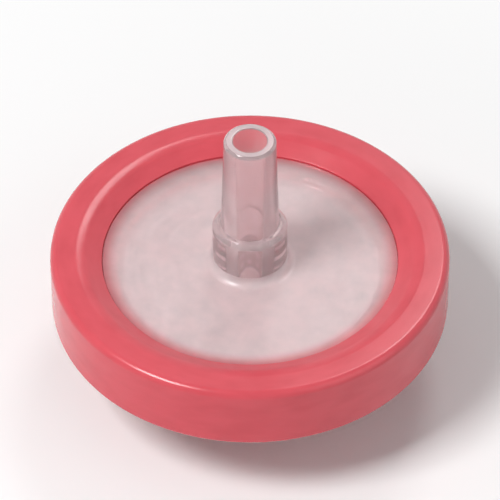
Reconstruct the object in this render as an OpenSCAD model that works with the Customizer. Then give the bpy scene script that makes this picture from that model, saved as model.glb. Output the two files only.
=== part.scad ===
// Disc filter for a syringe: a membrane held between two welded housing halves, with a ring
// moulded round their rims. It stands on the mouth of its inlet hub, and +Z points along the
// flow, out of the tip of its outlet nozzle. Z is 0 at the inlet mouth. Sizes are in millimetres.

/* [Membrane] */
// Diameter of the membrane disc, the nominal size of the filter
membrane_d = 25; // [18:0.5:50]
// Thickness of the membrane film
membrane_t = 0.12; // [0.05:0.01:0.3]
// Thickness of the non-woven backing on the film's outlet side
backing_t = 0.18; // [0.05:0.01:0.5]
// Width of the membrane's rim that the two halves clamp
seal_w = 0.8; // [0.4:0.1:2]
// Gap between the membrane's edge and the wall of its pocket
pocket_gap = 0.1; // [0.05:0.05:0.5]

/* [Housing halves] */
// Thickness of the inlet half's window
inlet_wall = 1.5; // [0.8:0.1:3]
// Thickness of the outlet half's window
outlet_wall = 1.6; // [0.8:0.1:3]
// Width of the welded rim outside the membrane's pocket
weld_w = 1; // [0.5:0.1:3]
// Step from each window's face down to the rim that the ring grips
rim_step = 0.5; // [0.2:0.1:0.7]
// Height of the ribs that spread the flow in the inlet half
inlet_rib_h = 0.25; // [0.2:0.05:1.5]
// Free height between those ribs and the membrane
inlet_gap = 0.1; // [0.1:0.05:1.5]
// Height of the ribs that carry the membrane in the outlet half
outlet_rib_h = 0.35; // [0.2:0.05:1.5]
// Width of one rib
rib_w = 0.6; // [0.3:0.05:1]
// Distance from one rib to the next
rib_pitch = 1.7; // [1.2:0.1:4]
// Number of straight channels that cut the ribs
channels = 8; // [3:1:16]
// Width of one channel
channel_w = 0.8; // [0.3:0.1:1.5]
// Width of the raised bead round the inlet half's window
bead_w = 0.45; // [0.2:0.05:1]
// Height of that bead
bead_h = 0.25; // [0.1:0.05:0.45]

/* [Inlet hub, female lock taper] */
// Length of the hub below the ring
hub_h = 6.2; // [5:0.1:15]
// Outer diameter of the hub at its mouth
hub_d = 6.4; // [5.6:0.1:6.7]
// Outer diameter of the hub at its root
hub_root_d = 6.7; // [6:0.1:9]
// Radius of the fillet between the hub and the inlet half's window
hub_fillet = 0.4; // [0.1:0.1:1.2]
// Span over the two pointed lugs
lug_span = 7.8; // [7:0.05:7.9]
// Thickness of the lugs
lug_t = 1.5; // [0.8:0.1:3]
// Diameter of the tapered socket at its mouth
socket_d = 4.3; // [4.27:0.01:4.5]
// Depth of the tapered socket
socket_depth = 7.5; // [5:0.1:7.7]
// Diameter of the passage from the socket into the housing
throat_d = 2.4; // [1:0.1:3.5]

/* [Outlet nozzle, male slip taper] */
// Length of the nozzle above the ring, with its collar
nozzle_h = 11.6; // [9:0.1:14]
// Diameter of the collar at the nozzle's root
collar_d = 5.8; // [5.2:0.1:8]
// Height of the collar above the ring
collar_h = 3; // [0.8:0.1:6]
// Chamfer on the collar's upper edge
collar_chamfer = 0.4; // [0.1:0.05:0.6]
// Radius of the fillet between the collar and the outlet half's window
collar_fillet = 0.7; // [0.2:0.1:1.2]
// Outer diameter of the nozzle at its tip
tip_d = 4; // [3.9:0.01:4.05]
// Chamfer at the nozzle's tip
tip_chamfer = 0.2; // [0.05:0.05:0.4]
// Diameter of the nozzle's bore at its tip
bore_tip_d = 2.6; // [1:0.1:3]
// Diameter of the bore where it leaves the housing
bore_root_d = 2; // [1:0.1:3]
// Change of diameter per unit of length on both tapers
taper = 0.06; // [0.05:0.01:0.07]

/* [Outer ring] */
// Thickness of the ring outside the housing's rim
ring_wall = 1.9; // [1.2:0.1:5]
// How far the ring's lips reach in over the rim
lip_w = 2.1; // [1.2:0.1:2.6]
// Depth from the ring's inlet face to the window
inlet_recess = 0.5; // [0.2:0.1:1.5]
// Depth from the ring's outlet face to the window
outlet_recess = 1; // [0.3:0.1:2]
// Width of the slope from the ring's outlet face to the window
slope_w = 1.6; // [0.4:0.1:2.4]
// Height above the window at which that slope ends
slope_end_h = 0.15; // [0.05:0.05:0.25]
// Radius of the ring's two outer edges
ring_round = 0.6; // [0.2:0.1:1.1]

/* [Raised marks] */
// Number of marks in the long row on the inlet face
long_row = 16; // [0:1:30]
// Number of marks in the short row across from it
short_row = 8; // [0:1:20]
// Angle from one mark to the next
mark_step = 7; // [4:0.5:7]
// Length of one mark along the radius
mark_l = 1.5; // [0.8:0.1:1.6]
// Width of one mark
mark_w = 0.5; // [0.2:0.1:0.8]
// Height of one mark
mark_h = 0.15; // [0.05:0.05:0.3]

/* [Hidden] */
$fn = 96;

// How far a cut runs past a face, or a joined shape into its neighbour
over = 0.01;

// Radii, from the membrane outwards
membrane_r = membrane_d / 2;
seal_r = membrane_r - seal_w;
pocket_r = membrane_r + pocket_gap;
rim_r = pocket_r + weld_w;
window_r = rim_r - lip_w;
ring_r = rim_r + ring_wall;

// Levels, from the inlet mouth upwards
ring_z = hub_h;
inlet_face_z = ring_z + inlet_recess;
inlet_rim_z = inlet_face_z + rim_step;
inlet_floor_z = inlet_face_z + inlet_wall;
membrane_z = inlet_floor_z + inlet_rib_h + inlet_gap;
backing_z = membrane_z + membrane_t;
joint_z = backing_z + backing_t;
outlet_floor_z = joint_z + outlet_rib_h;
outlet_face_z = outlet_floor_z + outlet_wall;
outlet_rim_z = outlet_face_z - rim_step;
ring_top_z = outlet_face_z + outlet_recess;
collar_z = ring_top_z + collar_h;
tip_z = ring_top_z + nozzle_h;

// A disc between two levels
module disc(r, z_low, z_high) {
  translate([0, 0, z_low])
    cylinder(r = r, h = z_high - z_low);
}

// A cone between two levels, given by its diameters there
module cone(d_low, d_high, z_low, z_high) {
  translate([0, 0, z_low])
    cylinder(d1 = d_low, d2 = d_high, h = z_high - z_low);
}

// A flat ring between two radii and two levels
module band(r_in, r_out, z_low, z_high) {
  difference() {
    disc(r_out, z_low, z_high);
    disc(r_in, z_low - over, z_high + over);
  }
}

// A concave fillet round a post of radius r that stands on the level z = 0
module root_fillet(r, size) {
  rotate_extrude()
    difference() {
      translate([r - over, -over])
        square(size + over);
      translate([r + size, size])
        circle(size);
    }
}

// Round ribs on a housing floor, cut by straight channels that lead to the middle
module ribs(r_first, z_low, z_high) {
  difference() {
    for (r = [r_first : rib_pitch : seal_r - rib_pitch + rib_w])
      band(r, r + rib_w, z_low, z_high);
    for (k = [0 : channels - 1])
      rotate(k * 360 / channels)
        translate([0, -channel_w / 2, z_low - over])
          cube([seal_r, channel_w, z_high - z_low + 2 * over]);
  }
}

// Outline of the hub's mouth: a circle, and two pointed lugs along X that are tangent to it
module mouth_outline() {
  lug_x = lug_span / 2;
  lug_angle = acos(hub_d / lug_span);
  touch_x = hub_d / 2 * cos(lug_angle);
  touch_y = hub_d / 2 * sin(lug_angle);
  circle(d = hub_d);
  polygon([[lug_x, 0], [touch_x, touch_y], [-touch_x, touch_y],
           [-lug_x, 0], [-touch_x, -touch_y], [touch_x, -touch_y]]);
}

// The hub's outside, from its mouth to the window
module hub() {
  linear_extrude(lug_t)
    mouth_outline();
  cone(hub_d, hub_root_d, 0, inlet_face_z + over);
  translate([0, 0, inlet_face_z])
    mirror([0, 0, 1])
      root_fillet(hub_root_d / 2, hub_fillet);
}

// Inlet half: hub with a tapered socket, window, membrane seat and welded rim
module inlet_housing() {
  color([0.93, 0.91, 0.91])
    difference() {
      union() {
        hub();
        disc(window_r, inlet_face_z, inlet_rim_z);
        disc(rim_r, inlet_rim_z, inlet_floor_z);
        band(window_r - 2 * bead_w, window_r - bead_w, inlet_face_z - bead_h, inlet_face_z);
        band(seal_r, pocket_r, inlet_floor_z, membrane_z);
        band(pocket_r, rim_r, inlet_floor_z, joint_z);
        ribs(socket_d / 2, inlet_floor_z, inlet_floor_z + inlet_rib_h);
      }
      cone(socket_d + taper * over, socket_d - taper * socket_depth, -over, socket_depth);
      disc(throat_d / 2, 0, inlet_floor_z + over);
    }
}

// The nozzle's outside: a collar with a chamfer, then the taper with a chamfered tip
module nozzle() {
  taper_end_z = tip_z - tip_chamfer;
  taper_end_d = tip_d + taper * tip_chamfer;
  root_d = tip_d + taper * (tip_z - collar_z);
  disc(collar_d / 2, outlet_face_z - over, collar_z - collar_chamfer);
  cone(collar_d, collar_d - 2 * collar_chamfer, collar_z - collar_chamfer, collar_z);
  cone(root_d, taper_end_d, collar_z, taper_end_z);
  cone(taper_end_d, taper_end_d - 2 * tip_chamfer, taper_end_z, tip_z);
  translate([0, 0, outlet_face_z])
    root_fillet(collar_d / 2, collar_fillet);
}

// Outlet half: window with ribs, welded rim and nozzle, with the bore through them
module outlet_housing() {
  color([0.93, 0.91, 0.91])
    difference() {
      union() {
        nozzle();
        disc(window_r, outlet_rim_z, outlet_face_z);
        disc(rim_r, outlet_floor_z, outlet_rim_z);
        band(seal_r, rim_r, joint_z, outlet_floor_z);
        ribs(rib_pitch, joint_z, outlet_floor_z);
      }
      cone(bore_root_d, bore_tip_d, outlet_floor_z - over, tip_z + over);
    }
}

// Film disc, clamped at its rim, with its face to the inlet
module membrane() {
  color([0.98, 0.97, 0.95])
    disc(membrane_r, membrane_z, backing_z);
}

// Non-woven disc under the film, carried by the outlet half's ribs
module membrane_backing() {
  color([0.96, 0.96, 0.96])
    disc(membrane_r, backing_z, joint_z);
}

// Half section of the ring, which is moulded round the housing's rim
module ring_section() {
  core_r = ring_r - ring_round;
  // lip over the inlet half
  translate([window_r, ring_z])
    square([core_r - window_r, inlet_rim_z - ring_z]);
  // lip over the outlet half, which slopes down to the window
  polygon([[window_r, outlet_rim_z], [window_r, outlet_face_z + slope_end_h],
           [window_r + slope_w, ring_top_z], [core_r, ring_top_z], [core_r, outlet_rim_z]]);
  // outer wall with its two round edges
  translate([rim_r, ring_z])
    square([core_r - rim_r, ring_top_z - ring_z]);
  translate([rim_r, ring_z + ring_round])
    square([ring_wall, ring_top_z - ring_z - 2 * ring_round]);
  for (z = [ring_z + ring_round, ring_top_z - ring_round])
    translate([core_r, z])
      circle(ring_round);
}

// A row of raised marks on the ring's inlet face, centred on an angle
module mark_row(count, middle) {
  mark_r = (window_r + ring_r) / 2;
  for (k = [0 : 1 : count - 1])
    rotate(middle + (k - (count - 1) / 2) * mark_step)
      translate([mark_r - mark_l / 2, -mark_w / 2, ring_z - mark_h])
        cube([mark_l, mark_w, mark_h + over]);
}

// Ring moulded round the rims of both halves, with plain raised marks
module outer_ring() {
  color([0.91, 0.31, 0.37]) {
    rotate_extrude()
      ring_section();
    mark_row(long_row, 90);
    mark_row(short_row, 270);
  }
}

inlet_housing();
outlet_housing();
membrane();
membrane_backing();
outer_ring();
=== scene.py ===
"""Looks of a 25 mm disc filter for a syringe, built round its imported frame.

Two halves moulded in natural polypropylene are welded round a white membrane and its non-woven
backing, and a red ring is moulded over their rims. The filter stands on the mouth of its inlet
hub with its outlet nozzle up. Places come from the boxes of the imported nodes, and the sizes in
the classes are the design's own, in metres.
"""

import logging
import math
from abc import ABC, abstractmethod
from collections.abc import Callable, Iterable, Iterator
from contextlib import contextmanager
from dataclasses import dataclass
from enum import Enum
from functools import cache

import bmesh
import bpy
from bpy.types import Camera, Light, Material, Node, NodeSocket, NodeTree, Object
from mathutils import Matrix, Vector


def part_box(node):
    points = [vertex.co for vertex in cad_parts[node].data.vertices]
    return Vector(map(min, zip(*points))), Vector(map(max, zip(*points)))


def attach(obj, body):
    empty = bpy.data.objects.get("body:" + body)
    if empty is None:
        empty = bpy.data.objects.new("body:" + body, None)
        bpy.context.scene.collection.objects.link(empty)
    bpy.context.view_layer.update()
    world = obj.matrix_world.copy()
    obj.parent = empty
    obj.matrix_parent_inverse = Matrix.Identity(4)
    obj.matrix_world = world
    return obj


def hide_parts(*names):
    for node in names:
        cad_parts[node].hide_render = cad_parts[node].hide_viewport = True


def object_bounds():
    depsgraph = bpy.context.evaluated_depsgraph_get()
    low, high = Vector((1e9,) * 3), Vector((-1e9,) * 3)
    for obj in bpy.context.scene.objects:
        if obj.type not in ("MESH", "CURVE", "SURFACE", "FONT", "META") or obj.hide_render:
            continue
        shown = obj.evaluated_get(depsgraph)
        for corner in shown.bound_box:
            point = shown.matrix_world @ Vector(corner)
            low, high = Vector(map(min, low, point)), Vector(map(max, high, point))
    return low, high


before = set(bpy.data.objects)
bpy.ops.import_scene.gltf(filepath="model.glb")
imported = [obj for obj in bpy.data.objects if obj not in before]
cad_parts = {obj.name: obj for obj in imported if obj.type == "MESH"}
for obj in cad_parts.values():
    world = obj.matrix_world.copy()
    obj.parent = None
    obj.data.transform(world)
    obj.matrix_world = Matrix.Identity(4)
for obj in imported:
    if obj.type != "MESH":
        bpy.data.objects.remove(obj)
CAD_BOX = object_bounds()

log = logging.getLogger("syringe_filter")

MM = 0.001
BODY = "root"
# Sides of every turned face
AROUND = 192
# Faces across a large rounding, a usual one and one that hardly shows
LARGE_ROUND, ROUND, SMALL_ROUND = 8, 3, 2
# Air left between mouldings that touch, so that no two clear faces share a place
AIR = 0.01 * MM
# Two places nearer than this count as one
SAME = 0.002 * MM
# Faces that meet at less than this angle are shaded as one surface
SMOOTH_ANGLE = math.radians(28)
# Two edges that meet at more than this angle make one straight line
STRAIGHT_ANGLE = math.radians(176)
# A face whose normal has more than this along Z looks up or down
UPRIGHT = 0.5
# Height of the raised marks over the ring's inlet face
MARK_HEIGHT = 0.15 * MM
# Most of a noise pattern lies between these values
NOISE_LOW, NOISE_HIGH = 0.3, 0.7
# How finely a noise pattern breaks up
SOFT, BROKEN, FINE = 1.0, 2.0, 5.0
WHITE = (1.0, 1.0, 1.0, 1.0)


class Operation(Enum):
    """What a boolean modifier does with its second shape."""

    ADD = "UNION"
    CUT = "DIFFERENCE"


class Unit(Enum):
    """What is selected in edit mode."""

    POINT = "VERT"
    EDGE = "EDGE"
    FACE = "FACE"


@dataclass(frozen=True)
class Corner:
    """A corner of a section that is turned about the Z axis.

    Attributes:
        r: Distance from the axis.
        z: Level.
        soft: Width of the rounding there, 0 where the corner is sharp.
        steps: Number of faces across that rounding.
    """

    r: float
    z: float
    soft: float = 0.0
    steps: int = ROUND


@dataclass(frozen=True)
class Layout:
    """Radii and levels that the pieces share.

    Attributes:
        ring_r, rim_r, window_r: Outer radii of the ring, of the welded rim and of the window.
        membrane_r, pocket_r, seal_r: Radii of the membrane, of its pocket and inside its seal.
        ring_low, ring_high: Levels of the ring's two faces.
        inlet_face, inlet_rim, inlet_floor: Levels of the inlet half, from outside to inside.
        membrane_low, backing_low, joint: Lower levels of the film, its backing and the outlet half.
        outlet_floor, outlet_rim, outlet_face: Levels of the outlet half, from inside to outside.
        tip: Level of the nozzle's tip.
    """

    ring_r: float
    rim_r: float
    window_r: float
    membrane_r: float
    pocket_r: float
    seal_r: float
    ring_low: float
    ring_high: float
    inlet_face: float
    inlet_rim: float
    inlet_floor: float
    membrane_low: float
    backing_low: float
    joint: float
    outlet_floor: float
    outlet_rim: float
    outlet_face: float
    tip: float

    @classmethod
    def from_frame(cls) -> "Layout":
        """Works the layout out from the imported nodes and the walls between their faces.

        Returns:
            The layout, in metres.
        """
        lip = 2.1 * MM
        pocket_gap = 0.1 * MM
        seal = 0.8 * MM
        inlet_recess = 0.5 * MM
        outlet_recess = 1.0 * MM
        rim_step = 0.5 * MM
        inlet_room = 0.35 * MM
        outlet_room = 0.35 * MM
        ring_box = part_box("outer_ring")
        outlet_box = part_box("outlet_housing")
        membrane_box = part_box("membrane")
        rim_r = outlet_box[1].x
        membrane_r = membrane_box[1].x
        ring_low = ring_box[0].z + MARK_HEIGHT
        outlet_face = ring_box[1].z - outlet_recess
        joint = outlet_box[0].z
        return cls(
            ring_r=ring_box[1].x,
            rim_r=rim_r,
            window_r=rim_r - lip,
            membrane_r=membrane_r,
            pocket_r=membrane_r + pocket_gap,
            seal_r=membrane_r - seal,
            ring_low=ring_low,
            ring_high=ring_box[1].z,
            inlet_face=ring_low + inlet_recess,
            inlet_rim=ring_low + inlet_recess + rim_step,
            inlet_floor=membrane_box[0].z - inlet_room,
            membrane_low=membrane_box[0].z,
            backing_low=membrane_box[1].z,
            joint=joint,
            outlet_floor=joint + outlet_room,
            outlet_rim=outlet_face - rim_step,
            outlet_face=outlet_face,
            tip=outlet_box[1].z,
        )


# ---- Modelling steps ----------------------------------------------------------------------


def activate(piece: Object) -> None:
    """Makes a piece the active object and the only one selected.

    Args:
        piece: The object to work on.
    """
    bpy.ops.object.select_all(action="DESELECT")
    piece.select_set(True)
    bpy.context.view_layer.objects.active = piece


def add_primitive(name: str, add: Callable[..., set[str]], **settings: object) -> Object:
    """Adds a primitive as the only object selected, and moves its place into its mesh.

    Args:
        name: Name of the new object.
        add: Operator that adds it.
        **settings: The operator's settings.

    Returns:
        The new object, at the origin.
    """
    bpy.ops.object.select_all(action="DESELECT")
    add(**settings)
    piece = bpy.context.object
    piece.name = name
    piece.data.name = name
    bpy.ops.object.transform_apply(location=True, rotation=True, scale=True)
    return piece


@contextmanager
def editing(piece: Object) -> Iterator[None]:
    """Holds a piece in edit mode, with all its edges selected at first.

    Args:
        piece: The object to edit.

    Yields:
        Nothing. The piece is in object mode again afterwards.
    """
    activate(piece)
    bpy.ops.object.mode_set(mode="EDIT")
    bpy.ops.mesh.select_mode(type=Unit.EDGE.value)
    bpy.ops.mesh.select_all(action="SELECT")
    try:
        yield
    finally:
        bpy.ops.object.mode_set(mode="OBJECT")


def select_where(piece: Object, unit: Unit, wanted: Callable[..., bool]) -> None:
    """Selects, in edit mode, only what passes a test.

    Args:
        piece: Object in edit mode.
        unit: What to select.
        wanted: Test of one point, edge or face.
    """
    bpy.ops.mesh.select_mode(type=unit.value)
    bpy.ops.mesh.select_all(action="DESELECT")
    mesh = bmesh.from_edit_mesh(piece.data)
    units = {Unit.POINT: mesh.verts, Unit.EDGE: mesh.edges, Unit.FACE: mesh.faces}
    for each in units[unit]:
        if wanted(each):
            each.select_set(True)
    bmesh.update_edit_mesh(piece.data)


def round_edge(piece: Object, corner: Corner) -> None:
    """Rounds, in edit mode, the round edge that a corner of the section makes.

    Args:
        piece: Object in edit mode.
        corner: The corner.
    """

    def on_circle(edge: bmesh.types.BMEdge) -> bool:
        """True if both ends of the edge lie on the corner's circle."""
        ends = [vertex.co for vertex in edge.verts]
        on_radius = all(abs(math.hypot(*end.xy) - corner.r) < SAME for end in ends)
        return on_radius and all(abs(end.z - corner.z) < SAME for end in ends)

    select_where(piece, Unit.EDGE, on_circle)
    bpy.ops.mesh.bevel(offset=corner.soft, segments=corner.steps, affect="EDGES")


def turn(name: str, section: list[Corner]) -> Object:
    """Turns a closed section about Z: a circle is drawn out from corner to corner and back.

    Args:
        name: Name of the new object.
        section: Corners in order. The last one joins the first.

    Returns:
        The turned object, closed, with its faces outwards and its corners rounded.
    """
    first = section[0]
    circle = {"vertices": AROUND, "radius": first.r, "location": (0, 0, first.z)}
    piece = add_primitive(name, bpy.ops.mesh.primitive_circle_add, **circle)
    with editing(piece):
        for here, there in zip(section, section[1:] + section[:1]):
            rise = {"value": (0, 0, there.z - here.z)}
            bpy.ops.mesh.extrude_region_move(TRANSFORM_OT_translate=rise)
            widen = there.r / here.r
            bpy.ops.transform.resize(value=(widen, widen, 1), center_override=(0, 0, there.z))
        bpy.ops.mesh.select_all(action="SELECT")
        bpy.ops.mesh.remove_doubles(threshold=SAME / 2)
        bpy.ops.mesh.normals_make_consistent(inside=False)
        for corner in section:
            if corner.soft:
                round_edge(piece, corner)
    return piece


def block(name: str, low: Vector, high: Vector, soft: float = 0.0) -> Object:
    """Makes a block between two corners, with rounded edges.

    Args:
        name: Name of the new object.
        low: Lowest corner.
        high: Highest corner.
        soft: Width of the rounding on its edges, 0 for none.

    Returns:
        The new object.
    """
    cube = {"size": 1, "location": (low + high) / 2, "scale": high - low}
    piece = add_primitive(name, bpy.ops.mesh.primitive_cube_add, **cube)
    if soft:
        with editing(piece):
            bpy.ops.mesh.bevel(offset=soft, segments=ROUND, affect="EDGES")
    return piece


def combine(piece: Object, shape: Object, angles: Iterable[float], operation: Operation) -> None:
    """Adds a shape to a piece or cuts it away, at some angles about Z, and removes the shape.

    Args:
        piece: Object that keeps the result.
        shape: Shape at an angle of 0. It is used up.
        angles: Turns in radians.
        operation: Whether it is added or cut away.
    """
    for angle in angles:
        copy = shape.copy()
        copy.data = shape.data.copy()
        bpy.context.collection.objects.link(copy)
        copy.rotation_euler.z = angle
        activate(copy)
        bpy.ops.object.transform_apply(location=False, rotation=True, scale=False)
        modifier = piece.modifiers.new(operation.name.lower(), "BOOLEAN")
        modifier.operation = operation.value
        modifier.solver = "EXACT"
        modifier.object = copy
        activate(piece)
        bpy.ops.object.modifier_apply(modifier=modifier.name)
        bpy.data.objects.remove(copy)
    bpy.data.objects.remove(shape)


def is_spare(point: bmesh.types.BMVert) -> bool:
    """Tells a point that a boolean leaves part-way along an edge.

    Args:
        point: The point.

    Returns:
        True if it only lies on one straight line.
    """
    if len(point.link_edges) != 2:
        return False
    here, there = (edge.other_vert(point).co - point.co for edge in point.link_edges)
    return here.angle(there) > STRAIGHT_ANGLE


def order_points(piece: Object) -> None:
    """Sorts a shape's points, in edit mode, by place.

    A boolean gives its points in an order that differs from run to run, and which near points
    are merged depends on their order.

    Args:
        piece: Object in edit mode.
    """
    points = bmesh.from_edit_mesh(piece.data).verts
    by_place = sorted(points, key=lambda point: tuple(point.co))
    ranks = {point: rank for rank, point in enumerate(by_place)}
    points.sort(key=lambda point: ranks[point])


def smooth(piece: Object) -> None:
    """Clears doubled and spare points, shades gentle bends smooth and keeps flat faces flat.

    Args:
        piece: Object whose shape is ready.
    """
    with editing(piece):
        order_points(piece)
        bpy.ops.mesh.remove_doubles(threshold=SAME / 2)
        select_where(piece, Unit.POINT, is_spare)
        bpy.ops.mesh.dissolve_verts()
    bpy.ops.object.shade_smooth_by_angle(angle=SMOOTH_ANGLE)
    modifier = piece.modifiers.new("weighted_normals", "WEIGHTED_NORMAL")
    modifier.keep_sharp = True
    bpy.ops.object.modifier_apply(modifier=modifier.name)


# ---- Finishes -----------------------------------------------------------------------------


def linear(hex_colour: str) -> tuple[float, float, float, float]:
    """Turns an sRGB hex colour to linear.

    Args:
        hex_colour: Colour such as "#C04050".

    Returns:
        Red, green, blue and an alpha of 1, linear.
    """
    parts = [int(hex_colour[k : k + 2], 16) / 255 for k in (1, 3, 5)]
    red, green, blue = (p / 12.92 if p <= 0.04045 else ((p + 0.055) / 1.055) ** 2.4 for p in parts)
    return red, green, blue, 1.0


def add_node(
    tree: NodeTree, kind: str, inputs: dict[str | int, object] | None = None, **settings: object
) -> Node:
    """Adds a shader node with its settings and links.

    Args:
        tree: Node tree that gets the node.
        kind: Type of node, without the ShaderNode that it starts with.
        inputs: What each input gets: a value, a socket, or a node that feeds it by its first
            output.
        **settings: Attributes of the node.

    Returns:
        The new node.
    """
    node = tree.nodes.new(f"ShaderNode{kind}")
    for name, value in settings.items():
        setattr(node, name, value)
    for name, value in (inputs or {}).items():
        source = value.outputs[0] if isinstance(value, Node) else value
        if isinstance(source, NodeSocket):
            tree.links.new(source, node.inputs[name])
        else:
            node.inputs[name].default_value = source
    return node


def tones(low: str, high: str) -> dict[str, tuple[float, float, float, float]]:
    """The two hex colours that a MixRGB node blends, as its inputs."""
    return {"Color1": linear(low), "Color2": linear(high)}


def per(size: float) -> float:
    """Scale of a pattern whose features have this size, in metres."""
    return 1 / size


def mottle(
    tree: NodeTree,
    place: NodeSocket,
    width: float,
    low: float = 0.0,
    high: float = 1.0,
    detail: float = FINE,
) -> Node:
    """Adds soft patches that run from one value to another.

    Args:
        tree: Node tree to add to.
        place: Place on the piece.
        width: Width of a patch.
        low: Value in the lowest patches.
        high: Value in the highest ones.
        detail: How finely the patches break up.

    Returns:
        The node whose first output is the value.
    """
    noise = add_node(tree, "TexNoise", {"Vector": place, "Scale": per(width), "Detail": detail})
    limits = {"From Min": NOISE_LOW, "From Max": NOISE_HIGH, "To Min": low, "To Max": high}
    return add_node(tree, "MapRange", {"Value": noise} | limits)


def round_axis(tree: NodeTree, place: NodeSocket) -> tuple[Node, NodeSocket, NodeSocket]:
    """Measures a place from the Z axis.

    Args:
        tree: Node tree to add to.
        place: Place on the piece.

    Returns:
        The node of the offset from the axis, the socket of its length, and that of the level.
    """
    offset = add_node(tree, "VectorMath", {0: place, 1: (1, 1, 0)}, operation="MULTIPLY")
    radius = add_node(tree, "VectorMath", {0: offset}, operation="LENGTH").outputs["Value"]
    return offset, radius, add_node(tree, "SeparateXYZ", {0: place}).outputs["Z"]


def start_material(name: str) -> tuple[Material, NodeTree, NodeSocket]:
    """Makes a material whose node tree only gives the place on the piece.

    Args:
        name: Name of the material.

    Returns:
        The material, its tree and the socket of the place.
    """
    material = bpy.data.materials.new(name)
    material.use_nodes = True
    tree = material.node_tree
    tree.nodes.clear()
    return material, tree, add_node(tree, "TexCoord").outputs["Object"]


@dataclass(frozen=True)
class RedPolypropylene:
    """Red polypropylene, injection moulded over the rims in a polished tool.

    The pigment hides what is under it, the polished tool leaves a gloss over a faint orange
    peel, and the flow draws the pigment out into weak clouds round the ring.

    Attributes:
        cloud_colour, body_colour: Colours inside and outside a cloud of pigment.
        cloud_width: Width of a cloud across the flow.
        clouds_per_radian: How often the clouds change along the ring.
        cloud_starts, cloud_ends: Values of the flow pattern between which the colours blend.
        peel_width, peel_height: Size of a bump of the orange peel.
        gloss_patch: Width of a glossier patch.
        glossiest, dullest: Limits of the roughness.
        ior: Index of refraction.
        light_depth: How deep light gets before it comes out again.
        depth_by_colour: Share of that depth for red, green and blue.
        depth_weight: Share of the light that does so.
    """

    cloud_colour: str = "#CE4450"
    body_colour: str = "#D64B57"
    cloud_width: float = 1.2 * MM
    clouds_per_radian: float = 5.0
    cloud_starts: float = 0.25
    cloud_ends: float = 0.6
    peel_width: float = 0.7 * MM
    peel_height: float = 0.002 * MM
    gloss_patch: float = 2.5 * MM
    glossiest: float = 0.16
    dullest: float = 0.24
    ior: float = 1.49
    light_depth: float = 0.5 * MM
    depth_by_colour: tuple[float, float, float] = (1.0, 0.25, 0.25)
    depth_weight: float = 0.12

    def material(self) -> Material:
        """Builds the material.

        Returns:
            The new material.
        """
        material, tree, place = start_material("red_polypropylene")
        limits = {"From Min": self.cloud_starts, "From Max": self.cloud_ends}
        clouds = add_node(tree, "MapRange", {"Value": self._flow(tree, place)} | limits)
        colours = tones(self.cloud_colour, self.body_colour)
        peel = add_node(
            tree, "TexNoise", {"Vector": place, "Scale": per(self.peel_width), "Detail": SOFT}
        )
        shader = add_node(
            tree,
            "BsdfPrincipled",
            {
                "Base Color": add_node(tree, "MixRGB", {"Fac": clouds} | colours),
                "Roughness": mottle(tree, place, self.gloss_patch, self.glossiest, self.dullest),
                "Normal": add_node(tree, "Bump", {"Height": peel, "Distance": self.peel_height}),
                "IOR": self.ior,
                "Subsurface Weight": self.depth_weight,
                "Subsurface Radius": self.depth_by_colour,
                "Subsurface Scale": self.light_depth,
            },
        )
        add_node(tree, "OutputMaterial", {"Surface": shader})
        return material

    def _flow(self, tree: NodeTree, place: NodeSocket) -> Node:
        """Adds a pattern drawn out round the Z axis.

        Args:
            tree: Node tree to add to.
            place: Place on the piece.

        Returns:
            The node whose first output is the pattern.
        """
        offset, radius, level = round_axis(tree, place)
        # the direction from the axis has no seam, as an angle would
        heading = add_node(tree, "VectorMath", {0: offset}, operation="NORMALIZE")
        along = add_node(
            tree, "VectorMath", {0: heading, "Scale": self.clouds_per_radian}, operation="SCALE"
        )
        across, up = (
            add_node(tree, "Math", {0: length, 1: per(self.cloud_width)}, operation="MULTIPLY")
            for length in (radius, level)
        )
        lifted = add_node(tree, "CombineXYZ", {"Z": across})
        drawn = add_node(tree, "VectorMath", {0: along, 1: lifted}, operation="ADD")
        return add_node(
            tree,
            "TexNoise",
            {"Vector": drawn, "W": up, "Scale": 1.0, "Detail": BROKEN},
            noise_dimensions="4D",
        )


@dataclass(frozen=True)
class PaintedRingLight:
    """Painted red light, standing in for the light that the ring sends into the clear rims
    and on to the discs between them.

    It makes the white of the windows fade into the ring instead of ending at a line. The fade
    is widest on the discs and draws back towards the outer faces, so that it is wide on the far
    side of a window seen at a slant and narrow on the near side.

    Attributes:
        colour: Painted colour of the red light close to the ring.
        starts, ends: Radii between which a piece's own colour gives way to it, at the discs.
        middle: Level of the discs.
        lean: How far the fade draws back for each unit of height above or below them.
    """

    colour: str = "#EC6F7B"
    starts: float = 9.4 * MM
    ends: float = 11.1 * MM
    middle: float = 8.7 * MM
    lean: float = 0.35

    def over(self, tree: NodeTree, place: NodeSocket, own: Node) -> Node:
        """Paints the red light from the ring over a piece's own colour.

        Args:
            tree: Node tree to add to.
            place: Place on the piece.
            own: Node whose first output is the piece's own colour.

        Returns:
            The node whose first output is the colour.
        """
        _, radius, level = round_axis(tree, place)
        height = add_node(tree, "Math", {0: level, 1: self.middle}, operation="SUBTRACT")
        height = add_node(tree, "Math", {0: height}, operation="ABSOLUTE")
        drawn_back = {0: height, 1: -self.lean, 2: radius}
        reach = add_node(tree, "Math", drawn_back, operation="MULTIPLY_ADD")
        limits = {"From Min": self.starts, "From Max": self.ends}
        share = add_node(
            tree, "MapRange", {"Value": reach} | limits, interpolation_type="SMOOTHSTEP"
        )
        # painted red light from the ring mixed over the piece's own colour
        red = {"Color1": own, "Color2": linear(self.colour)}
        return add_node(tree, "MixRGB", {"Fac": share} | red)


@dataclass(frozen=True)
class ToolFace:
    """What one kind of tool face leaves on the plastic.

    Attributes:
        glossiest, dullest: Limits of the roughness.
        clearest, cloudiest: Limits of the share of light that passes the surface.
        grain, grain_height: Width and height of the surface's grain.
    """

    glossiest: float
    dullest: float
    clearest: float
    cloudiest: float
    grain: float
    grain_height: float


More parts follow.
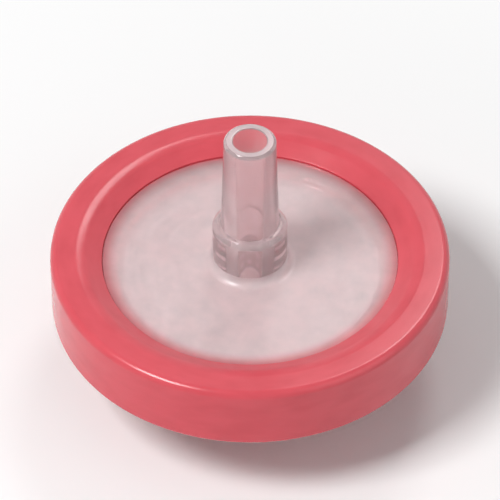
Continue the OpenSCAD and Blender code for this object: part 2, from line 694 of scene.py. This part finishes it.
class ToolFinish(Enum):
    """Kinds of tool face that the housing halves are moulded against."""

    POLISHED = ToolFace(
        glossiest=0.1,
        dullest=0.14,
        clearest=0.88,
        cloudiest=0.78,
        grain=0.9 * MM,
        grain_height=0.0015 * MM,
    )
    # the real sparks leave pits of about 0.03 mm, drawn wider so that they show
    SPARK_ERODED = ToolFace(
        glossiest=0.22,
        dullest=0.27,
        clearest=0.64,
        cloudiest=0.52,
        grain=0.2 * MM,
        grain_height=0.001 * MM,
    )


@dataclass(frozen=True)
class NaturalPolypropylene:
    """Polypropylene without pigment: clear where thin, with a milky haze from its crystals.

    A polished tool leaves the hub and the nozzle clear enough to show their bores, and a
    spark-eroded tool leaves the windows and the end faces satin. A little pink is painted into
    its colours for the red light from the plastic round it.

    Attributes:
        finish: Tool face that it was moulded against.
        haze_colour_with_red_light, clear_colour_with_red_light: Colours where the haze is
        thickest and thinnest, with a little painted pink for the red light round it.
        haze_patch: Width of a patch of haze.
        ior: Index of refraction.
    """

    finish: ToolFinish
    # both colours hold a little painted pink for the red light from the ring
    haze_colour_with_red_light: str = "#F6E0E2"
    clear_colour_with_red_light: str = "#FBEFF0"
    haze_patch: float = 2.0 * MM
    ior: float = 1.49

    def material(self) -> Material:
        """Builds the material.

        Returns:
            The new material.
        """
        face = self.finish.value
        material, tree, place = start_material(f"natural_polypropylene_{self.finish.name.lower()}")
        clear = mottle(tree, place, self.haze_patch)
        colours = tones(self.haze_colour_with_red_light, self.clear_colour_with_red_light)
        plain = add_node(tree, "MixRGB", {"Fac": clear} | colours)
        passed = add_node(
            tree, "MapRange", {"Value": clear, "To Min": face.cloudiest, "To Max": face.clearest}
        )
        grain = mottle(tree, place, face.grain, detail=BROKEN)
        roughness = add_node(
            tree, "MapRange", {"Value": grain, "To Min": face.glossiest, "To Max": face.dullest}
        )
        shader = add_node(
            tree,
            "BsdfPrincipled",
            {
                # painted red light from the ring over the plastic's colour, towards its rims
                "Base Color": PaintedRingLight().over(tree, place, plain),
                "Roughness": roughness,
                "Normal": add_node(tree, "Bump", {"Height": grain, "Distance": face.grain_height}),
                "IOR": self.ior,
                "Transmission Weight": passed,
            },
        )
        add_node(tree, "OutputMaterial", {"Surface": shader})
        return material


@dataclass(frozen=True)
class MembraneFilm:
    """Stretched fluoropolymer film, white because its pores scatter light, and fully matt.

    The real pores are under a micrometre wide. The weak clouds drawn here are the film's
    uneven stretch, and the fine grain stands for the pores.

    Attributes:
        dense_colour, open_colour: Colours where the film is stretched least and most.
        cloud: Width of a cloud.
        pore, pore_height: Width and height of the grain.
        roughness: The film's roughness.
    """

    dense_colour: str = "#E9E7E2"
    open_colour: str = "#F7F6F2"
    cloud: float = 1.5 * MM
    pore: float = 0.1 * MM
    pore_height: float = 0.006 * MM
    roughness: float = 0.7

    def material(self) -> Material:
        """Builds the material.

        Returns:
            The new material.
        """
        material, tree, place = start_material("membrane_film")
        clouds = mottle(tree, place, self.cloud)
        colours = tones(self.dense_colour, self.open_colour)
        white = add_node(tree, "MixRGB", {"Fac": clouds} | colours)
        # painted red light from the ring over the film's white, towards its rim
        colour = PaintedRingLight().over(tree, place, white)
        pores = add_node(
            tree, "TexNoise", {"Vector": place, "Scale": per(self.pore), "Detail": BROKEN}
        )
        bump = add_node(tree, "Bump", {"Height": pores, "Distance": self.pore_height})
        shader = add_node(
            tree,
            "BsdfPrincipled",
            {"Base Color": colour, "Roughness": self.roughness, "Normal": bump},
        )
        add_node(tree, "OutputMaterial", {"Surface": shader})
        return material


@dataclass(frozen=True)
class Nonwoven:
    """Spun-laid polypropylene fleece: white fibres laid in all directions, in uneven clumps.

    The real fibres are about 0.02 mm wide, drawn wider so that they show through the window.
    A little pink is painted into their colours for the red light round them, as it is into
    the colours of the plastic in front of them.

    Attributes:
        gap_colour_with_red_light, fibre_colour_with_red_light: Colours between the fibres and
        on them, with a little painted pink for the red light round them.
        fibre, fibre_stretch: Width of a fibre, and its length in widths.
        clump: Width of a clump of fibres.
        thinnest, thickest: Values of the pattern between which the colours blend.
        fibre_height: Height of the fibres over the gaps.
        roughness: The fleece's roughness.
        layings: Number of directions that fibres lie in.
    """

    # both colours hold a little painted pink for the red light from the ring
    gap_colour_with_red_light: str = "#E9D8D9"
    fibre_colour_with_red_light: str = "#FAEFEF"
    fibre: float = 0.09 * MM
    fibre_stretch: float = 9.0
    clump: float = 0.9 * MM
    thinnest: float = 0.2
    thickest: float = 0.42
    fibre_height: float = 0.03 * MM
    roughness: float = 0.65
    layings: int = 4

    def material(self) -> Material:
        """Builds the material.

        Returns:
            The new material.
        """
        material, tree, place = start_material("nonwoven")
        fibres = self._fibres(tree, place, 0)
        for k in range(1, self.layings):
            more = self._fibres(tree, place, k)
            fibres = add_node(tree, "Math", {0: fibres, 1: more}, operation="MAXIMUM")
        clumps = add_node(
            tree, "TexNoise", {"Vector": place, "Scale": per(self.clump), "Detail": BROKEN}
        )
        fleece = add_node(tree, "Math", {0: fibres, 1: clumps}, operation="MULTIPLY")
        limits = {"From Min": self.thinnest, "From Max": self.thickest}
        cover = add_node(tree, "MapRange", {"Value": fleece} | limits)
        colours = tones(self.gap_colour_with_red_light, self.fibre_colour_with_red_light)
        white = add_node(tree, "MixRGB", {"Fac": cover} | colours)
        # painted red light from the ring over the fleece's colour, towards its rim
        colour = PaintedRingLight().over(tree, place, white)
        bump = add_node(tree, "Bump", {"Height": fleece, "Distance": self.fibre_height})
        shader = add_node(
            tree,
            "BsdfPrincipled",
            {"Base Color": colour, "Roughness": self.roughness, "Normal": bump},
        )
        add_node(tree, "OutputMaterial", {"Surface": shader})
        return material

    def _fibres(self, tree: NodeTree, place: NodeSocket, number: int) -> Node:
        """Adds the fibres of one laying, all in one direction.

        Args:
            tree: Node tree to add to.
            place: Place on the piece.
            number: Number of the laying, from 0.

        Returns:
            The node whose first output is high on a fibre.
        """
        laid = add_node(
            tree,
            "Mapping",
            {
                "Vector": place,
                "Rotation": (0, 0, math.pi * number / self.layings),
                "Location": (0, 0, number * self.clump),
            },
        )
        drawn = add_node(
            tree, "VectorMath", {0: laid, 1: (1 / self.fibre_stretch, 1, 1)}, operation="MULTIPLY"
        )
        return add_node(
            tree, "TexNoise", {"Vector": drawn, "Scale": per(self.fibre), "Detail": SOFT}
        )


Finish = RedPolypropylene | NaturalPolypropylene | MembraneFilm | Nonwoven


@cache
def material_of(finish: Finish) -> Material:
    """The material of a finish, built the first time that a piece needs it."""
    return finish.material()


# ---- Pieces -------------------------------------------------------------------------------


@dataclass
class Part(ABC):
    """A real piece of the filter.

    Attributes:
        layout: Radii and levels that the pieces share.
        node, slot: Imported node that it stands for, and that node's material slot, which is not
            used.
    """

    layout: Layout
    node: str
    slot: str

    @abstractmethod
    def build(self) -> Object:
        """Models the piece, and gives the new object."""

    @abstractmethod
    def dress(self, piece: Object) -> None:
        """Gives the modelled piece its finish."""


@dataclass(frozen=True)
class Ribs:
    """Round ribs on the floor of a housing half, cut by straight channels.

    Attributes:
        first: Inner radius of the innermost rib.
        width: Width of a rib.
        pitch: Distance from one rib to the next.
        soft: Rounding of a rib's edges.
        channels: Number of channels from the middle outwards.
        channel_width: Width of a channel.
    """

    first: float
    width: float = 0.6 * MM
    pitch: float = 1.7 * MM
    soft: float = 0.08 * MM
    channels: int = 8
    channel_width: float = 0.8 * MM

    def section(self, floor: float, top: float, seal_r: float) -> list[Corner]:
        """Corners of the ribs, from the outermost inwards.

        Args:
            floor: Level that the ribs stand on.
            top: Level of their tops.
            seal_r: Radius inside the seal.

        Returns:
            Four corners for each rib.
        """
        count = 1 + int((seal_r - self.pitch + self.width - self.first) / self.pitch)
        corners = []
        for k in reversed(range(count)):
            inner = self.first + k * self.pitch
            outer = inner + self.width
            corners += [
                Corner(outer, floor),
                Corner(outer, top, self.soft, SMALL_ROUND),
                Corner(inner, top, self.soft, SMALL_ROUND),
                Corner(inner, floor),
            ]
        return corners

    def cut_channels(self, piece: Object, low: float, high: float, reach: float) -> None:
        """Cuts the channels through the ribs.

        Args:
            piece: Housing half with its ribs.
            low: Level of the channels' lower side.
            high: Level of their upper side.
            reach: Length of a channel from the axis.
        """
        half = self.channel_width / 2
        # each bar cuts two channels, on opposite sides of the axis
        bar = block("channel", Vector((-reach, -half, low)), Vector((reach, half, high)))
        bars = self.channels // 2
        combine(piece, bar, (math.pi * k / bars for k in range(bars)), Operation.CUT)


@dataclass(frozen=True)
class Zone:
    """A zone round the Z axis, between two radii and two levels."""

    r_low: float
    r_high: float
    z_low: float
    z_high: float

    def holds(self, place: Vector) -> bool:
        """True if the place lies in the zone."""
        within_radii = self.r_low < math.hypot(*place.xy) < self.r_high
        return within_radii and self.z_low < place.z < self.z_high


def dress_housing(piece: Object, satin: list[Zone]) -> None:
    """Gives a housing half its polished surface, and its satin one in some zones.

    Args:
        piece: The built half.
        satin: Zones in which it was moulded against a spark-eroded face.
    """
    finishes = list(ToolFinish)
    for finish in finishes:
        piece.data.materials.append(material_of(NaturalPolypropylene(finish)))
    for face in piece.data.polygons:
        in_satin = any(zone.holds(face.center) for zone in satin)
        finish = ToolFinish.SPARK_ERODED if in_satin else ToolFinish.POLISHED
        face.material_index = finishes.index(finish)


@dataclass
class InletHousing(Part):
    """Inlet half: a hub with a tapered socket and two lugs, and a window with a raised bead.

    Attributes:
        ribs, rib_height: Ribs under the membrane, and their height over the floor.
        hub_r, hub_root_r, hub_fillet: Radii of the hub at its mouth and root, and its fillet.
        socket_r, socket_end_r, socket_depth: Tapered socket's radii at its mouth and end.
        throat_r: Radius of the hole from the socket to the membrane.
        lug_reach, lug_height, lug_soft: Tip of a lug from the axis, its height and its edges.
        lug_root: Radius at which a lug starts inside the hub's wall.
        bead_width, bead_height: Size of the bead at the window's edge.
        edge_soft, window_soft: Rounding of small edges, and of the window's edge.
    """

    node: str = "inlet_housing"
    slot: str = "natural_polypropylene"
    ribs: Ribs = Ribs(first=2.15 * MM)
    rib_height: float = 0.25 * MM
    hub_r: float = 3.2 * MM
    hub_root_r: float = 3.35 * MM
    hub_fillet: float = 0.4 * MM
    socket_r: float = 2.15 * MM
    socket_end_r: float = 1.925 * MM
    socket_depth: float = 7.5 * MM
    throat_r: float = 1.2 * MM
    lug_reach: float = 3.9 * MM
    lug_height: float = 1.5 * MM
    lug_soft: float = 0.1 * MM
    lug_root: float = 2.18 * MM
    bead_width: float = 0.45 * MM
    bead_height: float = 0.25 * MM
    edge_soft: float = 0.1 * MM
    window_soft: float = 0.05 * MM

    def build(self) -> Object:
        """Models the inlet half.

        Returns:
            The new object.
        """
        at = self.layout
        piece = turn(self.node, self._outside() + self._inside())
        combine(piece, self._lug(), (0, math.pi), Operation.ADD)
        outermost = at.seal_r - self.ribs.width
        self.ribs.cut_channels(piece, at.inlet_floor + AIR, at.membrane_low, outermost)
        smooth(piece)
        return piece

    def _outside(self) -> list[Corner]:
        """Corners of the hub, the bead, the window and the rim.

        Returns:
            The corners, from the socket's mouth outwards.
        """
        at = self.layout
        soft = self.edge_soft
        bead_out = at.window_r - self.bead_width
        bead_in = bead_out - self.bead_width
        bead_low = at.inlet_face - self.bead_height
        return [
            Corner(self.socket_r, 0, soft),
            Corner(self.hub_r, 0, soft),
            Corner(self.hub_root_r, at.inlet_face, self.hub_fillet, LARGE_ROUND),
            Corner(bead_in, at.inlet_face, soft),
            Corner(bead_in, bead_low, soft),
            Corner(bead_out, bead_low, soft),
            Corner(bead_out, at.inlet_face, soft),
            Corner(at.window_r - AIR, at.inlet_face, self.window_soft),
            Corner(at.window_r - AIR, at.inlet_rim + AIR),
            Corner(at.rim_r - AIR, at.inlet_rim + AIR),
            Corner(at.rim_r - AIR, at.joint - AIR),
        ]

    def _inside(self) -> list[Corner]:
        """Corners of the membrane's pocket, the ribs, the throat and the socket.

        Returns:
            The corners, from the rim inwards.
        """
        at = self.layout
        soft = self.edge_soft
        pocket = [
            Corner(at.pocket_r, at.joint - AIR),
            Corner(at.pocket_r, at.membrane_low),
            Corner(at.seal_r, at.membrane_low, soft),
            Corner(at.seal_r, at.inlet_floor, soft),
        ]
        rib_top = at.inlet_floor + self.rib_height
        ribs = self.ribs.section(at.inlet_floor, rib_top, at.seal_r)
        bore = [
            Corner(self.throat_r, at.inlet_floor, soft),
            Corner(self.throat_r, self.socket_depth, soft),
            Corner(self.socket_end_r, self.socket_depth, soft),
        ]
        return pocket + ribs + bore

    def _lug(self) -> Object:
        """Models one lug: the end of a rhombus whose sides touch the hub's circle.

        Returns:
            The lug on the +X side.
        """
        reach, hub = self.lug_reach, self.hub_r
        side_reach = hub * reach / math.sqrt(reach**2 - hub**2)
        touch_y = hub * math.sqrt(1 - (hub / reach) ** 2)
        lug = add_primitive(
            "lug",
            bpy.ops.mesh.primitive_cylinder_add,
            vertices=4,
            radius=1,
            depth=self.lug_height,
            location=(0, 0, self.lug_height / 2),
        )
        cuts = [
            (Vector((0, touch_y, 0)), Vector((0, 1, 0))),
            (Vector((0, -touch_y, 0)), Vector((0, -1, 0))),
            (Vector((self.lug_root, 0, 0)), Vector((-1, 0, 0))),
        ]
        with editing(lug):
            bpy.ops.transform.resize(value=(reach, side_reach, 1), center_override=(0, 0, 0))
            for place, outwards in cuts:
                bpy.ops.mesh.bisect(
                    plane_co=place, plane_no=outwards, use_fill=True, clear_outer=True
                )
                bpy.ops.mesh.select_all(action="SELECT")
            bpy.ops.mesh.normals_make_consistent(inside=False)
            bpy.ops.mesh.bevel(offset=self.lug_soft, segments=ROUND, affect="EDGES")
        return lug

    def dress(self, piece: Object) -> None:
        """Gives the half its two moulded surfaces.

        Args:
            piece: The built half.
        """
        at = self.layout
        fillet_low = at.inlet_face - self.hub_fillet
        window = Zone(self.hub_root_r, at.window_r, fillet_low, at.inlet_face + SAME)
        mouth = Zone(0, self.lug_reach, -SAME, SAME)
        dress_housing(piece, [window, mouth])


@dataclass
class OutletHousing(Part):
    """Outlet half: a window, and a tapered nozzle on a collar, with a bore through both.

    Attributes:
        ribs: Ribs over the membrane.
        collar_r, collar_height: Collar's radius, and its height over the ring.
        collar_chamfer, collar_fillet: Collar's upper edge, and the fillet at its foot.
        tip_r, tip_chamfer, radius_taper: Nozzle's radius at its tip, its edge and its taper.
        bore_tip_r, bore_root_r: Radii of the bore at the tip and at the membrane.
        edge_soft, fine_soft, step_soft: Rounding of small edges, of the tip's and window's outer
            edges, and of the step on the collar.
    """

    node: str = "outlet_housing"
    slot: str = "natural_polypropylene"
    ribs: Ribs = Ribs(first=1.7 * MM)
    collar_r: float = 2.9 * MM
    collar_height: float = 3.0 * MM
    collar_chamfer: float = 0.4 * MM
    collar_fillet: float = 0.7 * MM
    tip_r: float = 2.0 * MM
    tip_chamfer: float = 0.2 * MM
    radius_taper: float = 0.03
    bore_tip_r: float = 1.3 * MM
    bore_root_r: float = 1.0 * MM
    edge_soft: float = 0.08 * MM
    fine_soft: float = 0.04 * MM
    step_soft: float = 0.15 * MM

    def build(self) -> Object:
        """Models the outlet half.

        Returns:
            The new object.
        """
        at = self.layout
        piece = turn(self.node, self._outside() + self._inside())
        outermost = at.seal_r - self.ribs.width
        self.ribs.cut_channels(piece, at.joint, at.outlet_floor - AIR, outermost)
        smooth(piece)
        return piece

    def _outside(self) -> list[Corner]:
        """Corners of the tip, the taper, the collar, the window and the rim.

        Returns:
            The corners, from the bore's mouth outwards.
        """
        at = self.layout
        soft = self.edge_soft
        collar_high = at.ring_high + self.collar_height
        taper_end_r = self.tip_r + self.radius_taper * self.tip_chamfer
        root_r = self.tip_r + self.radius_taper * (at.tip - collar_high)
        return [
            Corner(self.bore_tip_r, at.tip, soft),
            Corner(taper_end_r - self.tip_chamfer, at.tip, self.fine_soft),
            Corner(taper_end_r, at.tip - self.tip_chamfer, self.fine_soft),
            Corner(root_r, collar_high, self.step_soft),
            Corner(self.collar_r - self.collar_chamfer, collar_high, soft),
            Corner(self.collar_r, collar_high - self.collar_chamfer, soft),
            Corner(self.collar_r, at.outlet_face, self.collar_fillet, LARGE_ROUND),
            Corner(at.window_r - AIR, at.outlet_face, self.fine_soft),
            Corner(at.window_r - AIR, at.outlet_rim - AIR),
            Corner(at.rim_r - AIR, at.outlet_rim - AIR),
            Corner(at.rim_r - AIR, at.joint + AIR),
        ]

    def _inside(self) -> list[Corner]:
        """Corners of the seat, the ribs and the bore.

        Returns:
            The corners, from the rim inwards.
        """
        at = self.layout
        seat = [
            Corner(at.seal_r, at.joint + AIR, self.edge_soft),
            Corner(at.seal_r, at.outlet_floor, self.edge_soft),
        ]
        ribs = self.ribs.section(at.outlet_floor, at.joint + AIR, at.seal_r)
        bore = [Corner(self.bore_root_r, at.outlet_floor, self.edge_soft)]
        return seat + ribs + bore

    def dress(self, piece: Object) -> None:
        """Gives the half its two moulded surfaces.

        Args:
            piece: The built half.
        """
        at = self.layout
        fillet_high = at.outlet_face + self.collar_fillet
        window = Zone(self.collar_r + SAME, at.window_r, at.outlet_face - SAME, fillet_high)
        tip = Zone(0, self.tip_r, at.tip - SAME, at.tip + SAME)
        dress_housing(piece, [window, tip])


@dataclass
class ClampedDisc(Part):
    """A thin disc that the two halves clamp at its edge.

    Attributes:
        finish: Its finish.
        low, high: Levels that it lies between.
        edge_soft: Rounding of its edge.
    """

    finish: Finish
    low: float
    high: float
    edge_soft: float = 0.015 * MM

    def build(self) -> Object:
        """Models the disc.

        Returns:
            The new object.
        """
        radius = self.layout.membrane_r
        piece = add_primitive(
            self.node,
            bpy.ops.mesh.primitive_cylinder_add,
            vertices=AROUND,
            radius=radius,
            depth=self.high - self.low - 2 * AIR,
            location=(0, 0, (self.low + self.high) / 2),
        )
        with editing(piece):
            for side in (-1, 1):
                select_where(piece, Unit.FACE, lambda face: face.normal.z * side > UPRIGHT)
                bpy.ops.mesh.inset(thickness=radius - self.layout.seal_r)
            for z in (self.low + AIR, self.high - AIR):
                round_edge(piece, Corner(radius, z, self.edge_soft, SMALL_ROUND))
        smooth(piece)
        return piece

    def dress(self, piece: Object) -> None:
        """Gives the disc its finish."""
        piece.data.materials.append(material_of(self.finish))


@dataclass
class OuterRing(Part):
    """Ring moulded over the rims of both halves, with plain raised marks on its inlet face.

    Attributes:
        outer_round: Rounding of its outer edges.
        slope_width, slope_end: Width of the slope down to the outlet window, and its step there.
        shoulder_soft, slope_soft: Rounding above the slope and below it.
        lip_soft: Rounding of the lip on the inlet window.
        mark_length, mark_width, mark_height, mark_soft: Size of a mark, and its edges.
        mark_sunk: How deep a mark reaches into the ring.
        mark_step: Angle from one mark to the next.
        rows: Number of marks in each row, with the direction of the row's middle.
    """

    node: str = "outer_ring"
    slot: str = "red_polypropylene"
    outer_round: float = 0.6 * MM
    slope_width: float = 1.6 * MM
    slope_end: float = 0.15 * MM
    shoulder_soft: float = 0.5 * MM
    slope_soft: float = 0.04 * MM
    lip_soft: float = 0.12 * MM
    mark_length: float = 1.5 * MM
    mark_width: float = 0.5 * MM
    mark_height: float = MARK_HEIGHT
    mark_soft: float = 0.06 * MM
    mark_sunk: float = 0.12 * MM
    mark_step: float = math.radians(7)
    rows: tuple[tuple[int, float], ...] = ((16, math.radians(90)), (8, math.radians(270)))

    def build(self) -> Object:
        """Models the ring.

        Returns:
            The new object.
        """
        piece = turn(self.node, self._section())
        mark_angles = (
            middle + (k - (count - 1) / 2) * self.mark_step
            for count, middle in self.rows
            for k in range(count)
        )
        combine(piece, self._mark(), mark_angles, Operation.ADD)
        smooth(piece)
        return piece

    def _section(self) -> list[Corner]:
        """Corners of the two lips and the wall that joins them.

        Returns:
            The corners, from the inlet lip outwards and back.
        """
        at = self.layout
        slope_r = at.window_r + self.slope_width
        slope_low = at.outlet_face + self.slope_end
        return [
            Corner(at.window_r, at.ring_low, self.lip_soft),
            Corner(at.ring_r, at.ring_low, self.outer_round, LARGE_ROUND),
            Corner(at.ring_r, at.ring_high, self.outer_round, LARGE_ROUND),
            Corner(slope_r, at.ring_high, self.shoulder_soft, LARGE_ROUND),
            Corner(at.window_r, slope_low, self.slope_soft, SMALL_ROUND),
            Corner(at.window_r, at.outlet_rim),
            Corner(at.rim_r, at.outlet_rim),
            Corner(at.rim_r, at.inlet_rim),
            Corner(at.window_r, at.inlet_rim),
        ]

    def _mark(self) -> Object:
        """Models one raised mark on the +X side.

        Returns:
            The mark, sunk a little into the ring.
        """
        at = self.layout
        middle = Vector(((at.window_r + at.ring_r) / 2, 0, 0))
        half = Vector((self.mark_length / 2, self.mark_width / 2, 0))
        low = middle - half + Vector((0, 0, at.ring_low - self.mark_height))
        high = middle + half + Vector((0, 0, at.ring_low + self.mark_sunk))
        return block("mark", low, high, self.mark_soft)

    def dress(self, piece: Object) -> None:
        """Gives the ring its finish."""
        piece.data.materials.append(material_of(RedPolypropylene()))


# ---- Studio -------------------------------------------------------------------------------


def hang(
    data: Light | Camera, aim: Vector, azimuth: float, elevation: float, distance: float
) -> Object:
    """Hangs a lamp or a camera in the studio, turned to a point.

    Args:
        data: The lamp or the camera.
        aim: Point that it faces.
        azimuth: Degrees round the point. At 0 it faces along +Y, at 90 along -X.
        elevation: Degrees above the floor.
        distance: Distance from the point.

    Returns:
        The new object.
    """
    a, e = math.radians(azimuth), math.radians(elevation)
    back = Vector((math.sin(a) * math.cos(e), -math.cos(a) * math.cos(e), math.sin(e)))
    holder = bpy.data.objects.new(data.name, data)
    bpy.context.collection.objects.link(holder)
    holder.location = aim + back * distance
    holder.rotation_euler = back.to_track_quat("Z", "Y").to_euler()
    return holder


@dataclass(frozen=True)
class Softbox:
    """A square lamp that faces the object.

    Attributes:
        name: Name of the lamp.
        azimuth, elevation: Direction of the lamp from the object, in degrees.
        distance: Distance from the object.
        size: Side of the square.
        power: Power in watts.
    """

    name: str
    azimuth: float
    elevation: float
    distance: float
    size: float
    power: float

    def build(self, aim: Vector) -> None:
        """Adds the lamp.

        Args:
            aim: Point that it faces.
        """
        data = bpy.data.lights.new(self.name, "AREA")
        data.shape = "SQUARE"
        data.size = self.size
        data.energy = self.power
        hang(data, aim, self.azimuth, self.elevation, self.distance)


@dataclass
class Studio:
    """Pale floor, soft lamps and the camera that looks down on the outlet side.

    Attributes:
        azimuth, elevation: Direction of the camera from the object, in degrees.
        lens, sensor: The camera's focal length and sensor width, in millimetres.
        filled: Share of the frame that the object's width fills.
        floor_radius, floor_colour: The floor's radius and colour.
        fade_from, fade_to: Distances between which the floor turns to the backdrop's white.
        ambient: Strength of the even light from all round.
        backdrop: Strength of the backdrop where it is seen, 1 for white.
        lamps: The soft lamps.
    """

    azimuth: float = 20.0
    elevation: float = 45.0
    lens: float = 300.0
    sensor: float = 36.0
    filled: float = 0.8
    floor_radius: float = 400 * MM
    floor_colour: str = "#F8F8F8"
    fade_from: float = 20 * MM
    fade_to: float = 70 * MM
    ambient: float = 0.3
    backdrop: float = 1.0
    lamps: tuple[Softbox, ...] = (
        Softbox("key", azimuth=-40, elevation=55, distance=0.35, size=0.12, power=0.9),
        Softbox("fill", azimuth=75, elevation=35, distance=0.45, size=0.35, power=0.25),
        Softbox("back", azimuth=180, elevation=52, distance=0.4, size=0.12, power=0.25),
    )

    def build(self) -> None:
        """Builds the floor, the world, the lamps and the camera."""
        low, high = CAD_BOX
        middle = (low + high) / 2
        self._floor()
        self._world()
        for lamp in self.lamps:
            lamp.build(middle)
        self._camera(middle, (high - low).x)
        bpy.context.scene.view_settings.view_transform = "Standard"

    def _floor(self) -> None:
        """Adds a round floor that turns to the backdrop's white away from the object.

        Seen from under it, the floor is clear, so that the inlet side can be looked at too.
        """
        floor = add_primitive(
            "floor",
            bpy.ops.mesh.primitive_circle_add,
            vertices=AROUND,
            radius=self.floor_radius,
            fill_type="NGON",
            location=(0, 0, -AIR),
        )
        material, tree, place = start_material("floor")
        away = add_node(tree, "VectorMath", {0: place}, operation="LENGTH").outputs["Value"]
        fade = add_node(
            tree,
            "MapRange",
            {"Value": away, "From Min": self.fade_from, "From Max": self.fade_to},
            interpolation_type="SMOOTHSTEP",
        )
        factor = add_node(tree, "Math", {0: fade, 1: self._seen(tree)}, operation="MULTIPLY")
        matt = add_node(tree, "BsdfDiffuse", {"Color": linear(self.floor_colour)})
        white = add_node(tree, "Emission", {"Color": WHITE, "Strength": self.backdrop})
        upper = add_node(tree, "MixShader", {0: factor, 1: matt, 2: white})
        clear = add_node(tree, "BsdfTransparent")
        from_under = add_node(tree, "NewGeometry").outputs["Backfacing"]
        sided = add_node(tree, "MixShader", {0: from_under, 1: upper, 2: clear})
        add_node(tree, "OutputMaterial", {"Surface": sided})
        floor.data.materials.append(material)

    def _seen(self, tree: NodeTree) -> NodeSocket:
        """Is 1 for a ray that shows the backdrop: from the camera, a gloss or through plastic.

        Args:
            tree: Node tree to add to.

        Returns:
            The socket with that number.
        """
        path = add_node(tree, "LightPath")
        total = path.outputs["Is Camera Ray"]
        for name in ("Is Glossy Ray", "Is Transmission Ray"):
            both = add_node(tree, "Math", {0: total, 1: path.outputs[name]}, operation="MAXIMUM")
            total = both.outputs[0]
        return total

    def _world(self) -> None:
        """Gives even light from all round, and a white backdrop."""
        world = bpy.data.worlds.new("studio")
        bpy.context.scene.world = world
        world.use_nodes = True
        tree = world.node_tree
        tree.nodes.clear()
        light, white = (
            add_node(tree, "Background", {"Color": WHITE, "Strength": strength})
            for strength in (self.ambient, self.backdrop)
        )
        mixed = add_node(tree, "MixShader", {0: self._seen(tree), 1: light, 2: white})
        add_node(tree, "OutputWorld", {"Surface": mixed})

    def _camera(self, aim: Vector, width: float) -> None:
        """Adds the camera.

        Args:
            aim: Point in the middle of the frame.
            width: Width of the object, which fills a set share of the frame.
        """
        data = bpy.data.cameras.new("camera")
        data.lens = self.lens
        data.sensor_width = self.sensor
        distance = width / self.filled * self.lens / self.sensor
        camera = hang(data, aim, self.azimuth, self.elevation, distance)
        bpy.context.scene.camera = camera


def make_parts(layout: Layout) -> list[Part]:
    """Lists the five pieces in the order in which they are put together.

    Args:
        layout: Radii and levels that they share.

    Returns:
        The pieces, not built yet.
    """
    levels = layout.membrane_low, layout.backing_low, layout.joint
    film = ClampedDisc(layout, "membrane", "membrane_film", MembraneFilm(), *levels[:2])
    backing = ClampedDisc(layout, "membrane_backing", "nonwoven", Nonwoven(), *levels[1:])
    return [InletHousing(layout), film, backing, OutletHousing(layout), OuterRing(layout)]


def main() -> None:
    """Builds the pieces in order, then the studio round them."""
    logging.basicConfig(level=logging.INFO, format="%(name)s: %(message)s")
    log.info("packed nodes: %s", ", ".join(sorted(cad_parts)))
    for part in make_parts(Layout.from_frame()):
        piece = part.build()
        part.dress(piece)
        piece.name = f"{part.node}_visual"
        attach(piece, BODY)
        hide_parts(part.node)
        log.info("%s: %d faces", piece.name, len(piece.data.polygons))
    Studio().build()


if __name__ == "__main__":
    main()
